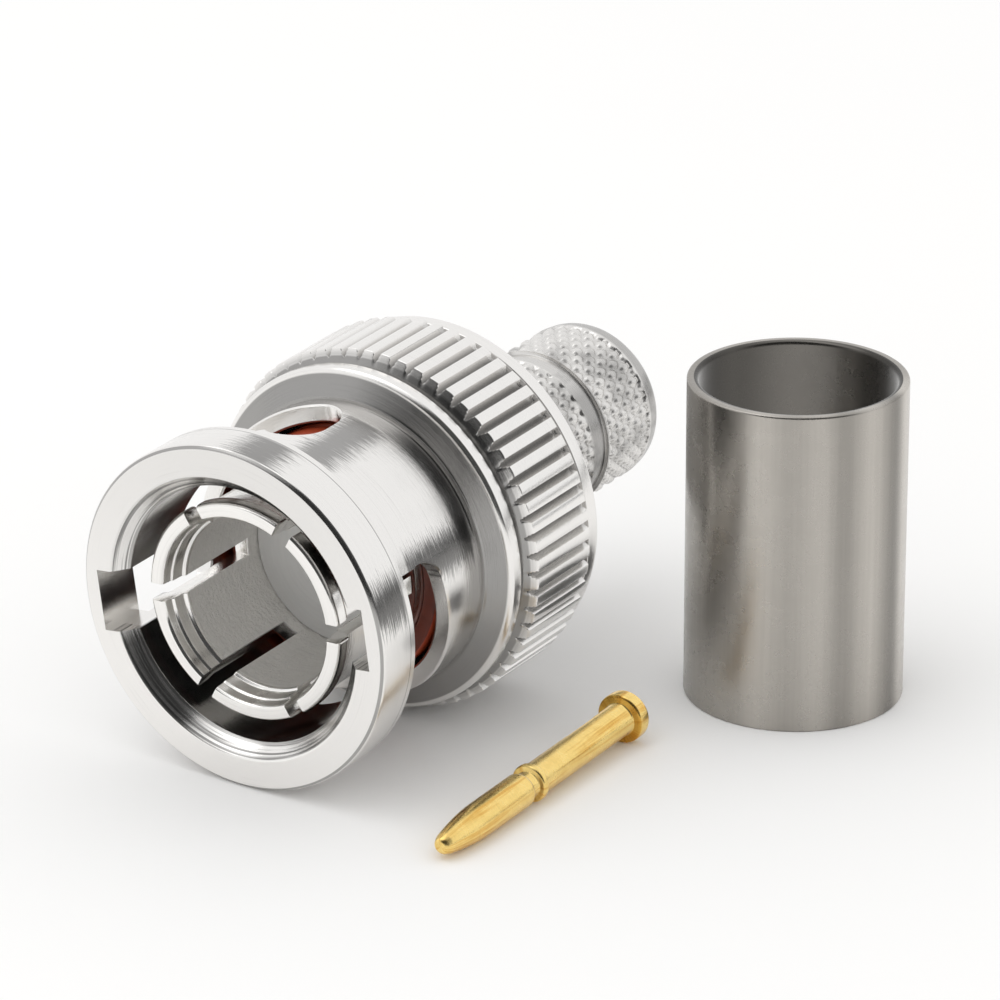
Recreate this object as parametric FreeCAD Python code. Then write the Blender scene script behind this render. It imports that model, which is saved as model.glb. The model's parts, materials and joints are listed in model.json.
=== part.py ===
import FreeCAD, Part

import math
import os

from FreeCAD import Vector

# Crimp-type coaxial bayonet plug, laid out as it is supplied: the plug lies on
# the edges of its coupling nut, its contact pin lies beside it, and its crimp
# ferrule stands on one end. Millimetres.
#
# Each turned piece is drawn as (s, r) points. s is the distance behind the
# front face of the coupling nut and r is the distance from the axis. The set's
# origin is on the floor, under the middle of its box. +X points out of the
# mating end and +Z is up.

# Coupling nut, outside
COLLAR_R = 6.63
COLLAR_LENGTH = 1.98
EDGE_BREAK = 0.12
NECK_R = 5.60
UNDERCUT_DEPTH = 0.15
UNDERCUT_WIDTH = 0.22
SHOULDER_S = 7.60
SHOULDER_R = 6.52
SHOULDER_DEPTH = 0.38
BAND_R = 6.64
BAND_LENGTH = 0.50
FRONT_GROOVE_R = 6.36
FRONT_GROOVE_WIDTH = 0.16
KNURL_R = 7.05
KNURL_LENGTH = 3.66
KNURL_BEVEL = 0.34
KNURL_TEETH = 60
KNURL_ANGLE = 4.5
KNURL_DEPTH = 0.36
KNURL_GAP_OUTER = 0.36
KNURL_GAP_INNER = 0.16
REAR_GROOVE_R = 6.52
REAR_GROOVE_WIDTH = 0.30
RIM_R = 6.74
RIM_LENGTH = 0.62
RIM_BEVEL = 0.32

# Coupling nut, inside
COUPLING_BORE_R = 4.92
BORE_CHAMFER = 0.54
LIP_LENGTH = 2.10
STACK_GAP = 0.32
RING_GAP = 0.63

# Bayonet channels for two studs, opposite each other
CHANNEL_WIDTH = 2.36
CHANNEL_FLOOR_R = 5.95
CHANNEL_COUNT = 2
ENTRY_ANGLE = 6.4
ENTRY_DEPTH = 4.15
CHANNEL_RISE = 1.72
CHANNEL_TURN = 90.0
SEAT_DROP = 0.58

# Outer contact body
TIP_S = 0.70
TIP_BORE_R = 3.55
TIP_BORE_DEPTH = 1.15
BEAD_R = 4.20
BEAD_LENGTH = 0.60
FINGER_R = 3.96
CONTACT_BORE_R = 3.35
FINGER_COUNT = 6
FINGER_SLOT_WIDTH = 0.62
FINGER_SLOT_END = 5.55
FINGER_SLOT_ANGLE = 32.0
GASKET_SEAT_R = 4.08
GASKET_SEAT_S = 6.05
FLANGE_S = 8.20
FLANGE_R = 4.62
FLANGE_LENGTH = 0.80
BARREL_R = 3.98
BARREL_TAIL = 0.98
RING_GROOVE_DEPTH = 0.45
INSULATOR_FACE_S = 6.10
INSULATOR_END = 9.60
REAR_BORE_R = 2.70

# Gasket, washers and retaining ring
GASKET_FRONT_S = 6.10
GASKET_R = 4.70
GASKET_BEVEL = 0.20
WASHER_WIDTH = 0.63
WASHER_THICKNESS = 0.30
WAVE_STRIP = 0.20
WAVE_COUNT = 3
WAVE_WIDTH = 0.57
STACK_LENGTH = 1.55
RING_WIDTH = 0.32
RING_STAND = 0.64
RING_OPENING = 50.0

# Insulator
PIN_HOLE_CLEARANCE = 0.05

# Crimp stem
STEM_R = 3.13
STEM_END = 23.30
STEM_BORE_R = 2.00
STEM_COLLAR_LENGTH = 0.60
STEM_SPIGOT_LENGTH = 2.40
STEM_END_ROUND = 0.60

# Contact pin, measured from its nose
PIN_TIP_R = 0.65
PIN_FLAT_R = 0.24
PIN_MID_NOSE_R = 0.52
PIN_NOSE_LENGTH = 2.55
PIN_NECK_S = 5.32
PIN_NECK_R = 0.44
PIN_NECK_LENGTH = 0.42
PIN_RING_R = 0.72
PIN_RING_LENGTH = 0.34
PIN_BARREL_R = 0.62
PIN_FLANGE_S = 11.95
PIN_FLANGE_R = 0.95
PIN_LENGTH = 12.52
PIN_WIRE_BORE_R = 0.45
PIN_WIRE_BORE_DEPTH = 5.00
PIN_WINDOW_S = 8.90
PIN_WINDOW_LENGTH = 2.00
PIN_WINDOW_CUT = 0.14

# Crimp ferrule
FERRULE_R = 4.08
FERRULE_WALL = 0.43
FERRULE_LENGTH = 12.40
FERRULE_BREAK = 0.10

# How far a cutting shape reaches past what it cuts
OVERCUT = 1.00

# Clearances between pieces
RUNNING = 0.07
SIDE_GAP = 0.05

# Where the loose pieces lie, from the middle of the nut's front face
PIN_NOSE_X = 0.75
PIN_NOSE_Y = 9.58
PIN_YAW = 1.84
FERRULE_X = -19.02
FERRULE_Y = 11.74

# Stations that follow from the sizes above
BAND_S = SHOULDER_S + SHOULDER_DEPTH + EDGE_BREAK
FRONT_GROOVE_S = BAND_S + BAND_LENGTH
KNURL_S = FRONT_GROOVE_S + FRONT_GROOVE_WIDTH
KNURL_END = KNURL_S + KNURL_LENGTH
RIM_S = KNURL_END + REAR_GROOVE_WIDTH
NUT_END = RIM_S + RIM_LENGTH + RIM_BEVEL
FLANGE_END = FLANGE_S + FLANGE_LENGTH
LIP_S = FLANGE_END + STACK_LENGTH
LIP_END = LIP_S + LIP_LENGTH
WASHER_S = LIP_S - SIDE_GAP - WASHER_THICKNESS
RING_S = LIP_END + SIDE_GAP
RING_GROOVE_R = BARREL_R - RING_GROOVE_DEPTH
BARREL_END = RING_S + RING_WIDTH + BARREL_TAIL
BARREL_CLEAR_R = BARREL_R + RUNNING
WASHER_R = BARREL_CLEAR_R + WASHER_WIDTH
WAVE_R = BARREL_CLEAR_R + WAVE_WIDTH
RING_R = BARREL_R + RING_STAND
STACK_POCKET_R = WASHER_R + STACK_GAP
RING_POCKET_R = RING_R + RING_GAP
STEM_COLLAR_END = BARREL_END + STEM_COLLAR_LENGTH
CHANNEL_LEAD = CHANNEL_RISE * 360.0 / CHANNEL_TURN

# The plug rests nose down, on the collar's front edge and the knurl's front edge
COLLAR_EDGE_S = EDGE_BREAK
KNURL_EDGE_S = KNURL_S + KNURL_BEVEL
REST_TILT = math.atan2(KNURL_R - COLLAR_R, KNURL_EDGE_S - COLLAR_EDGE_S)
FLOOR_Z = COLLAR_EDGE_S * math.sin(REST_TILT) - COLLAR_R * math.cos(REST_TILT)
PIN_TILT = math.atan2(PIN_FLANGE_R - PIN_TIP_R, PIN_FLANGE_S - PIN_NOSE_LENGTH)


def turned(points):
    """A solid turned about Z from (s, r) points, with the mating end up."""
    outline = [Vector(r, 0, -s) for s, r in points]
    outline.append(outline[0])
    face = Part.Face(Part.makePolygon(outline))
    return face.revolve(Vector(0, 0, 0), Vector(0, 0, 1), 360)


def tube(front, back, outer, inner):
    return turned([(front, outer), (back, outer), (back, inner), (front, inner)])


def about_axis(shape, angle):
    copy = shape.copy()
    copy.rotate(Vector(0, 0, 0), Vector(0, 0, 1), angle)
    return copy


def patterned(shape, count, first_angle):
    return [about_axis(shape, first_angle + i * 360.0 / count) for i in range(count)]


def radial_plug(radius, inner, outer, s):
    """A round bar that points away from the axis, at distance s behind the front face."""
    return Part.makeCylinder(radius, outer - inner, Vector(inner, 0, -s), Vector(1, 0, 0))


def radial_block(width, inner, outer, front, back):
    corner = Vector(inner, -width / 2, -back)
    return Part.makeBox(outer - inner, width, back - front, corner)


def nut_blank():
    """The nut before its channels and knurl are cut."""
    return turned([
        (0, COUPLING_BORE_R + BORE_CHAMFER),
        (0, COLLAR_R - EDGE_BREAK),
        (EDGE_BREAK, COLLAR_R),
        (COLLAR_LENGTH, COLLAR_R),
        (COLLAR_LENGTH, NECK_R),
        (SHOULDER_S - UNDERCUT_WIDTH, NECK_R),
        (SHOULDER_S, NECK_R - UNDERCUT_DEPTH),
        (SHOULDER_S + SHOULDER_DEPTH, SHOULDER_R),
        (BAND_S, BAND_R),
        (FRONT_GROOVE_S, BAND_R),
        (FRONT_GROOVE_S, FRONT_GROOVE_R),
        (KNURL_S, FRONT_GROOVE_R),
        (KNURL_S + KNURL_BEVEL, KNURL_R),
        (KNURL_END, KNURL_R),
        (KNURL_END, REAR_GROOVE_R),
        (RIM_S, REAR_GROOVE_R),
        (RIM_S, RIM_R),
        (RIM_S + RIM_LENGTH, RIM_R),
        (NUT_END, RIM_R - RIM_BEVEL),
        (NUT_END, RING_POCKET_R),
        (LIP_END, RING_POCKET_R),
        (LIP_END, BARREL_CLEAR_R),
        (LIP_S, BARREL_CLEAR_R),
        (LIP_S, STACK_POCKET_R),
        (FLANGE_END, STACK_POCKET_R),
        (FLANGE_END, COUPLING_BORE_R),
        (BORE_CHAMFER, COUPLING_BORE_R),
    ])


def channel_ramp(inner):
    """The helical run of one channel, swept from its crest back to the end of its entry."""
    half = CHANNEL_WIDTH / 2
    path = Part.makeHelix(CHANNEL_LEAD, CHANNEL_RISE, COUPLING_BORE_R)
    corners = [
        Vector(inner, 0, -half),
        Vector(CHANNEL_FLOOR_R, 0, -half),
        Vector(CHANNEL_FLOOR_R, 0, half),
        Vector(inner, 0, half),
        Vector(inner, 0, -half),
    ]
    section = Part.makePolygon(corners)
    ramp = Part.Wire(path.Edges).makePipeShell([section], True, True)
    ramp.translate(Vector(0, 0, -ENTRY_DEPTH - CHANNEL_RISE))
    return about_axis(ramp, -CHANNEL_TURN)


def bayonet_channel():
    """One stud's way: straight entry, helical ramp, and the seat that the stud drops back into."""
    half = CHANNEL_WIDTH / 2
    inner = COUPLING_BORE_R - CHANNEL_WIDTH / 4
    outer = CHANNEL_FLOOR_R + CHANNEL_WIDTH / 4
    crest_s = ENTRY_DEPTH + CHANNEL_RISE
    seat_s = crest_s - SEAT_DROP
    entry = radial_block(CHANNEL_WIDTH, inner, outer, -OVERCUT, ENTRY_DEPTH)
    entry = entry.fuse(radial_plug(half, inner, outer, ENTRY_DEPTH))
    seat = radial_block(CHANNEL_WIDTH, inner, outer, seat_s, crest_s)
    seat = seat.multiFuse([radial_plug(half, inner, outer, s) for s in (seat_s, crest_s)])
    ends = entry.fuse(about_axis(seat, -CHANNEL_TURN))
    within_floor = Part.makeCylinder(CHANNEL_FLOOR_R, crest_s + CHANNEL_WIDTH, Vector(0, 0, OVERCUT), Vector(0, 0, -1))
    return ends.common(within_floor).fuse(channel_ramp(inner))


def knurl_gap():
    """The space between two teeth of the straight knurl."""
    root_r = KNURL_R - KNURL_DEPTH
    top_r = KNURL_R + KNURL_DEPTH
    flank = (KNURL_GAP_OUTER - KNURL_GAP_INNER) / 2 / KNURL_DEPTH
    root_half = KNURL_GAP_INNER / 2
    top_half = root_half + flank * (top_r - root_r)
    corners = [
        Vector(root_r, -root_half, -KNURL_END),
        Vector(top_r, -top_half, -KNURL_END),
        Vector(top_r, top_half, -KNURL_END),
        Vector(root_r, root_half, -KNURL_END),
        Vector(root_r, -root_half, -KNURL_END),
    ]
    return Part.Face(Part.makePolygon(corners)).extrude(Vector(0, 0, KNURL_LENGTH))


def coupling_nut():
    # About the local axis, 90 degrees plus an angle is the same angle from +Y once the plug lies down
    channels = patterned(bayonet_channel(), CHANNEL_COUNT, 90 + ENTRY_ANGLE)
    gaps = patterned(knurl_gap(), KNURL_TEETH, KNURL_ANGLE)
    return nut_blank().cut(channels).cut(gaps)


def connector_body():
    """The slotted outer contact, its flange and its rear barrel, turned as one piece."""
    bead_end = TIP_S + BEAD_LENGTH
    step = BEAD_R - FINGER_R
    tip_round = (BEAD_R - TIP_BORE_R) / 3
    blank = turned([
        (TIP_S, TIP_BORE_R),
        (TIP_S, BEAD_R - tip_round),
        (TIP_S + tip_round, BEAD_R),
        (bead_end, BEAD_R),
        (bead_end + step, FINGER_R),
        (FINGER_SLOT_END + step, FINGER_R),
        (GASKET_SEAT_S, GASKET_SEAT_R),
        (FLANGE_S, GASKET_SEAT_R),
        (FLANGE_S, FLANGE_R),
        (FLANGE_END, FLANGE_R),
        (FLANGE_END, BARREL_R),
        (RING_S - SIDE_GAP, BARREL_R),
        (RING_S - SIDE_GAP, RING_GROOVE_R),
        (RING_S + RING_WIDTH + SIDE_GAP, RING_GROOVE_R),
        (RING_S + RING_WIDTH + SIDE_GAP, BARREL_R),
        (BARREL_END, BARREL_R),
        (BARREL_END, REAR_BORE_R),
        (INSULATOR_END, REAR_BORE_R),
        (INSULATOR_END, CONTACT_BORE_R),
        (TIP_S + TIP_BORE_DEPTH, CONTACT_BORE_R),
        (TIP_S + TIP_BORE_DEPTH, TIP_BORE_R),
    ])
    slot = radial_block(FINGER_SLOT_WIDTH, 0, BEAD_R + OVERCUT, 0, FINGER_SLOT_END)
    return blank.cut(patterned(slot, FINGER_COUNT, 180 + FINGER_SLOT_ANGLE))


def insulator():
    """The bush that holds the contact pin, with a seat for the pin's flange at its rear."""
    hole = PIN_BARREL_R + PIN_HOLE_CLEARANCE
    seat_r = PIN_FLANGE_R + PIN_HOLE_CLEARANCE
    seat_s = INSULATOR_END - (PIN_LENGTH - PIN_FLANGE_S)
    return turned([
        (INSULATOR_FACE_S, hole),
        (INSULATOR_FACE_S, CONTACT_BORE_R),
        (INSULATOR_END, CONTACT_BORE_R),
        (INSULATOR_END, seat_r),
        (seat_s, seat_r),
        (seat_s, hole),
    ])


def gasket():
    """The soft ring that the jack's barrel seals against."""
    return turned([
        (GASKET_FRONT_S, GASKET_SEAT_R),
        (GASKET_FRONT_S, GASKET_R - GASKET_BEVEL),
        (GASKET_FRONT_S + GASKET_BEVEL, GASKET_R),
        (FLANGE_S, GASKET_R),
        (FLANGE_S, GASKET_SEAT_R),
    ])


def closed_wave(radius, height, middle_s):
    """A closed curve round the axis that rises and falls WAVE_COUNT times."""
    steps = 8 * WAVE_COUNT
    points = []
    for i in range(steps):
        angle = 2 * math.pi * i / steps
        lift = height * math.cos(WAVE_COUNT * angle)
        points.append(Vector(radius * math.cos(angle), radius * math.sin(angle), -middle_s + lift))
    curve = Part.BSplineCurve()
    curve.interpolate(Points=points, PeriodicFlag=True)
    return curve.toShape()


def wave_washer():
    inner = BARREL_CLEAR_R
    span = WASHER_S - FLANGE_END - 2 * SIDE_GAP
    height = (span - WAVE_STRIP) / 2
    middle = (WASHER_S + FLANGE_END) / 2
    front = middle - WAVE_STRIP / 2
    back = middle + WAVE_STRIP / 2
    rails = {(r, s): closed_wave(r, height, s) for r in (inner, WAVE_R) for s in (front, back)}
    faces = [
        Part.makeRuledSurface(rails[inner, front], rails[WAVE_R, front]),
        Part.makeRuledSurface(rails[inner, back], rails[WAVE_R, back]),
        Part.makeRuledSurface(rails[inner, front], rails[inner, back]),
        Part.makeRuledSurface(rails[WAVE_R, front], rails[WAVE_R, back]),
    ]
    shell = Part.makeShell(faces)
    shell.sewShape()
    washer = Part.makeSolid(Part.makeShell(shell.Faces))
    if washer.Volume < 0:
        washer.reverse()
    return washer


def flat_washer():
    return tube(WASHER_S, WASHER_S + WASHER_THICKNESS, WASHER_R, BARREL_CLEAR_R)


def retaining_ring():
    """The split ring in the barrel's groove that stops the nut from sliding off."""
    ring = tube(RING_S, RING_S + RING_WIDTH, RING_R, RING_GROOVE_R + SIDE_GAP)
    half_width = RING_R * math.sin(math.radians(RING_OPENING / 2))
    front = RING_S - OVERCUT
    back = RING_S + RING_WIDTH + OVERCUT
    return ring.cut(radial_block(2 * half_width, 0, RING_R + OVERCUT, front, back))


def crimp_stem():
    """The tube that the cable's braid goes over, pressed into the barrel."""
    return turned([
        (BARREL_END - STEM_SPIGOT_LENGTH, STEM_BORE_R),
        (BARREL_END - STEM_SPIGOT_LENGTH, REAR_BORE_R),
        (BARREL_END, REAR_BORE_R),
        (BARREL_END, BARREL_R),
        (STEM_COLLAR_END, BARREL_R),
        (STEM_COLLAR_END, STEM_R),
        (STEM_END - STEM_END_ROUND, STEM_R),
        (STEM_END, STEM_R - STEM_END_ROUND),
        (STEM_END, STEM_BORE_R),
    ])


def contact_pin():
    """The crimp contact, with its nose at the origin, before it is laid down."""
    neck_end = PIN_NECK_S + PIN_NECK_LENGTH
    ring_end = neck_end + PIN_RING_LENGTH
    pin = turned([
        (0, PIN_FLAT_R),
        (PIN_NOSE_LENGTH / 2, PIN_MID_NOSE_R),
        (PIN_NOSE_LENGTH, PIN_TIP_R),
        (PIN_NECK_S, PIN_TIP_R),
        (PIN_NECK_S, PIN_NECK_R),
        (neck_end, PIN_NECK_R),
        (neck_end, PIN_RING_R),
        (ring_end, PIN_RING_R),
        (ring_end, PIN_BARREL_R),
        (PIN_FLANGE_S, PIN_BARREL_R),
        (PIN_FLANGE_S, PIN_FLANGE_R),
        (PIN_LENGTH, PIN_FLANGE_R),
        (PIN_LENGTH, PIN_WIRE_BORE_R),
        (PIN_LENGTH - PIN_WIRE_BORE_DEPTH, PIN_WIRE_BORE_R),
        (PIN_LENGTH - PIN_WIRE_BORE_DEPTH - PIN_WIRE_BORE_R, 0),
        (0, 0),
    ])
    window_floor = PIN_WIRE_BORE_R - PIN_WINDOW_CUT
    window_end = PIN_WINDOW_S + PIN_WINDOW_LENGTH
    window = radial_block(2 * PIN_BARREL_R, window_floor, PIN_BARREL_R + OVERCUT, PIN_WINDOW_S, window_end)
    return pin.cut(window)


def crimp_ferrule():
    outer = FERRULE_R
    inner = FERRULE_R - FERRULE_WALL
    return turned([
        (0, inner + FERRULE_BREAK),
        (0, outer - FERRULE_BREAK),
        (FERRULE_BREAK, outer),
        (FERRULE_LENGTH - FERRULE_BREAK, outer),
        (FERRULE_LENGTH, outer - FERRULE_BREAK),
        (FERRULE_LENGTH, inner),
        (FERRULE_BREAK, inner),
    ])


def laid_down(shape):
    """Turns a piece of the plug from mating end up to its rest on the nut's edges."""
    copy = shape.copy()
    copy.rotate(Vector(0, 0, 0), Vector(0, 1, 0), 90 + math.degrees(REST_TILT))
    return copy


def beside_as_pin(shape):
    """Lays the pin on its nose and its flange, beside the plug."""
    copy = shape.copy()
    copy.rotate(Vector(0, 0, 0), Vector(0, 0, 1), 180)
    copy.rotate(Vector(0, 0, 0), Vector(0, 1, 0), 90 + math.degrees(PIN_TILT))
    copy.rotate(Vector(0, 0, 0), Vector(0, 0, 1), PIN_YAW)
    height = PIN_TIP_R * math.cos(PIN_TILT) - PIN_NOSE_LENGTH * math.sin(PIN_TILT)
    copy.translate(Vector(PIN_NOSE_X, PIN_NOSE_Y, FLOOR_Z + height))
    return copy


def beside_as_ferrule(shape):
    copy = shape.copy()
    copy.translate(Vector(FERRULE_X, FERRULE_Y, FLOOR_Z + FERRULE_LENGTH))
    return copy


def all_pieces():
    plug = {
        "coupling_nut": coupling_nut(),
        "connector_body": connector_body(),
        "insulator": insulator(),
        "gasket": gasket(),
        "wave_washer": wave_washer(),
        "flat_washer": flat_washer(),
        "retaining_ring": retaining_ring(),
        "crimp_stem": crimp_stem(),
    }
    pieces = {name: laid_down(shape) for name, shape in plug.items()}
    pieces["contact_pin"] = beside_as_pin(contact_pin())
    pieces["crimp_ferrule"] = beside_as_ferrule(crimp_ferrule())
    return pieces


def way_to_origin(pieces):
    """The move that puts the middle of the set's box over the origin, and its base on the floor."""
    box = Part.makeCompound(list(pieces.values())).optimalBoundingBox(False)
    return Vector(-box.Center.x, -box.Center.y, -box.ZMin)


def main():
    os.makedirs("parts", exist_ok=True)
    pieces = all_pieces()
    move = way_to_origin(pieces)
    print("front face of the nut at", [round(value, 4) for value in move])
    for name, shape in pieces.items():
        shape.translate(move)
        shape.exportStep("parts/" + name + ".step")
        print(name, "solids", len(shape.Solids), "valid", shape.isValid(), "volume", round(shape.Volume, 3))


main()
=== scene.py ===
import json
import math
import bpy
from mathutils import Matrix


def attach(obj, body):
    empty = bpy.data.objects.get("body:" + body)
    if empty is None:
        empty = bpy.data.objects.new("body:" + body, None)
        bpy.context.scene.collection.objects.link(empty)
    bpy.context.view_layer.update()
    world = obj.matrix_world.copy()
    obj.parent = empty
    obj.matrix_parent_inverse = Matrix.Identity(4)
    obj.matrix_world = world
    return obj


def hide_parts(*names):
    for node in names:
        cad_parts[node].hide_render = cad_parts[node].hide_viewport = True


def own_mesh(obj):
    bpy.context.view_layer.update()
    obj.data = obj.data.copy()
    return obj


bl_info = {
    "name": "Bayonet crimp plug",
    "version": (1, 0, 0),
    "blender": (4, 5, 0),
    "location": "View3D > Sidebar > Crimp plug",
    "description": "Builds a bayonet crimp plug with its loose contact pin and crimp ferrule",
    "category": "Object",
}

import bmesh
import bpy
import numpy as np
from bpy.props import FloatProperty, FloatVectorProperty, IntProperty, PointerProperty
from mathutils import Matrix, Vector

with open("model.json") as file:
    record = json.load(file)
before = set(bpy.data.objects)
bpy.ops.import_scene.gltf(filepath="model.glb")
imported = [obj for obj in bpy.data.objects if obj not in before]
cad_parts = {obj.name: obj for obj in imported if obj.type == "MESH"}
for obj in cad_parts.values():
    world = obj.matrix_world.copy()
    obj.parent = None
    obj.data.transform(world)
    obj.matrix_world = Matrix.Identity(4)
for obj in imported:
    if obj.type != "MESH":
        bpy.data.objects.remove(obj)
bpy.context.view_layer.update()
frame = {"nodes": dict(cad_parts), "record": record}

MM = 0.001
MOUNTS = {mount["name"]: mount for mount in frame["record"]["mounts"]}

# The plug's own frame: s runs back from the middle of the nut's front face,
# and an angle is measured from the top, towards the side that faces -Y.
FACE = Vector(MOUNTS["bayonet_face"]["pos_m"])
FORWARD = Vector(MOUNTS["bayonet_face"]["axis"]).normalized()
UP = Vector((-FORWARD.z, 0.0, FORWARD.x))
SIDE = Vector((0.0, -1.0, 0.0))
FERRULE_MIDDLE = Vector(MOUNTS["ferrule_bore"]["pos_m"])
Z_AXIS = Vector((0.0, 0.0, 1.0))

# Places along the plug, in millimetres of s
FLANGE_REAR = 9.0
KNURL_START, KNURL_STOP = 8.70, 12.60
DIAMOND_BANDS = ((15.15, 18.55), (19.55, 22.35))
SAW_START = 0.2

# The same along the loose pin, for its window
WINDOW_SPAN = (8.90, 10.90)

# Other lengths, in millimetres
BARREL_R = 3.98         # of the body's barrel, behind its flange
PLAIN_STEM_R = 3.0      # the stem's diamonds lie outside this
WINDOW_FLOOR = 0.31     # from the pin's axis
DIAMOND_FADE = 0.10     # in which a band of diamonds comes to its full depth
STEM_RINGS = 0.058      # from ring to ring of the grid under the diamonds

# Across a gap of the straight knurl: from its middle, up its flank, to the top of a tooth
KNURL_FLANK = (0.0, 0.055, 0.12, 0.165, 0.25)

CAP_STEPS = 10          # in the round end of a milling cutter

# From the nut's front face, in metres
CAMERA_FROM_FACE = Vector((0.17120, 0.12950, 0.09293))
TARGET_FROM_FACE = Vector((-0.014673, 0.001502, 0.0))

LAMP_PLACE = Vector((0.10, -0.08, 0.26))
DARK_OPENING = (0.762, 0.524, 0.381)    # direction of the dark part of the tent
TENT_WHITE = 0.97


def length(name, description, default):
    return FloatProperty(
        name=name, description=description, default=default, min=0.0, unit="LENGTH", precision=5)


def turn(name, description, degrees):
    return FloatProperty(
        name=name, description=description, default=math.radians(degrees), subtype="ANGLE")


def colour(name, description, value):
    return FloatVectorProperty(
        name=name, description=description, default=value, min=0.0, max=1.0, subtype="COLOR")


def count(name, description, default, least):
    return IntProperty(name=name, description=description, default=default, min=least)


def number(name, description, default, **limits):
    return FloatProperty(name=name, description=description, default=default, **limits)


class NutSizes(bpy.types.PropertyGroup):
    """Sizes of the coupling nut, its bayonet channels and its knurl"""

    collar_radius: length("Collar radius", "Outer radius of the collar at the mating end", 0.00663)
    neck_radius: length("Neck radius", "Radius of the plain neck behind the collar", 0.00560)
    bore_radius: length("Bore radius", "Radius of the bore that goes over the jack", 0.00492)
    channel_width: length("Channel width", "Width of each stud's channel", 0.00236)
    channel_floor: length("Channel floor radius", "Radius of the entry channel's floor", 0.00604)
    entry_depth: length("Entry depth", "How far back the straight entry goes", 0.00415)
    channel_rise: length("Channel rise", "How far the ramp draws the nut forward", 0.00172)
    seat_drop: length("Seat drop", "How far a stud drops back into its seat", 0.00058)
    entry_angle: turn("Entry angle", "Where the first channel starts, from the top", 96.4)
    knurl_radius: length("Knurl radius", "Radius over the teeth of the straight knurl", 0.00705)
    knurl_depth: length("Knurl depth", "Depth of the gaps between the teeth", 0.00036)
    knurl_teeth: count("Knurl teeth", "Number of teeth round the nut", 60, 12)
    knurl_angle: turn("Knurl angle", "Where the first gap lies, from the top", -1.5)


class ContactSizes(bpy.types.PropertyGroup):
    """Sizes of the slotted outer contact"""

    tip: length("Tip", "From the nut's front face to the fingers' tips", 0.00070)
    bead_radius: length("Bead radius", "Radius over the beads of the fingers", 0.00420)
    finger_radius: length("Finger radius", "Outer radius behind the beads", 0.00396)
    bore_radius: length("Bore radius", "Inner radius of the fingers", 0.00335)
    slot_width: length("Slot width", "Width of the slots between the fingers", 0.00068)
    slot_end: length("Slot end", "How far back the slots go", 0.00552)
    slot_angle: turn("Slot angle", "Where the first slot lies, from the top", 32.0)


class CrimpSizes(bpy.types.PropertyGroup):
    """Sizes of the crimp stem and the crimp ferrule"""

    stem_radius: length("Stem radius", "Radius over the stem's diamonds", 0.00313)
    stem_end: length("Stem end", "From the nut's front face to the stem's end", 0.02330)
    diamonds: count("Diamonds", "Number of diamonds round the stem", 31, 8)
    diamond_length: length("Diamond length", "Length of one diamond along the stem", 0.00080)
    diamond_depth: length("Diamond depth", "Depth of the grooves between the diamonds", 0.00011)
    ferrule_radius: length("Ferrule radius", "Outer radius of the ferrule", 0.00408)
    ferrule_wall: length("Ferrule wall", "Thickness of the ferrule's wall", 0.00043)
    ferrule_length: length("Ferrule length", "Length of the ferrule", 0.01240)


class SpringSizes(bpy.types.PropertyGroup):
    """Sizes of the wave spring that draws the nut back"""

    strip: length("Strip", "Thickness of the spring's strip", 0.00020)
    height: length("Height", "Height of the relaxed spring", 0.00110)
    room: length("Room", "From the flange to the flat washer, with the nut at rest", 0.00120)
    travel: length("Travel", "How far the nut can slide forward", 0.00060)
    inner_radius: length("Inner radius", "Radius of the spring's hole", 0.00405)
    width: length("Width", "Width of the spring's strip", 0.00057)
    waves: count("Waves", "Number of waves round the spring", 3, 2)


class PinSizes(bpy.types.PropertyGroup):
    """Sizes and place of the loose contact pin"""

    nose_radius: length("Nose radius", "Radius of the mating end", 0.00065)
    nose_length: length("Nose length", "Length of the tapered nose", 0.00255)
    neck: length("Neck", "Where the neck starts, from the tip", 0.00532)
    barrel_radius: length("Barrel radius", "Radius of the crimp barrel", 0.00062)
    flange: length("Flange", "Where the flange starts, from the tip", 0.01195)
    flange_radius: length("Flange radius", "Radius of the flange", 0.00095)
    full_length: length("Length", "Length of the pin", 0.01252)
    forward_of_face: length("Forward of the face", "From the nut's front face to the tip", 0.00075)
    beside_face: length("Beside the face", "From the nut's axis to the tip", 0.00958)
    yaw: turn("Yaw", "How far the pin lies turned from the plug's axis", 1.84)
    window_turn: turn("Window turn", "From the top of the barrel to its far side", 90.0)


class Finishes(bpy.types.PropertyGroup):
    """Colours of the plated metals, the soft parts and the stage"""

    nut: colour("Nut nickel", "Bright nickel on the coupling nut", (0.86, 0.845, 0.825))
    contact: colour("Contact nickel", "Nickel on the slotted contact", (0.90, 0.885, 0.86))
    stem: colour("Stem nickel", "Nickel on the crimp stem", (0.80, 0.785, 0.765))
    ferrule: colour("Ferrule nickel", "Satin nickel on the drawn ferrule", (0.46, 0.435, 0.40))
    gold: colour("Gold", "Gold plate on the contact pin", (0.97, 0.72, 0.26))
    gasket: colour("Gasket red", "Red-brown silicone of the gasket", (0.36, 0.055, 0.02))
    bush: colour("Bush", "Pale fluoroplastic of the insulator", (0.66, 0.655, 0.64))
    spring: colour("Spring steel", "Spring steel of the washers and the ring", (0.50, 0.49, 0.47))
    floor: colour("Floor", "Pale floor under the set", (0.96, 0.96, 0.96))


class StageSettings(bpy.types.PropertyGroup):
    """Camera, lamp and floor of the stage"""

    lens: number("Lens", "Focal length of the camera in millimetres", 236.48, min=1.0)
    floor_size: length("Floor size", "Length of each side of the floor", 1.6)
    sky: number("Sky", "Strength of the even light from all round", 0.95, min=0.0)
    lamp_power: number("Lamp power", "Power of the soft lamp", 0.13, unit="POWER")
    lamp_size: length("Lamp size", "Length of each side of the soft lamp", 0.24)


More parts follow.
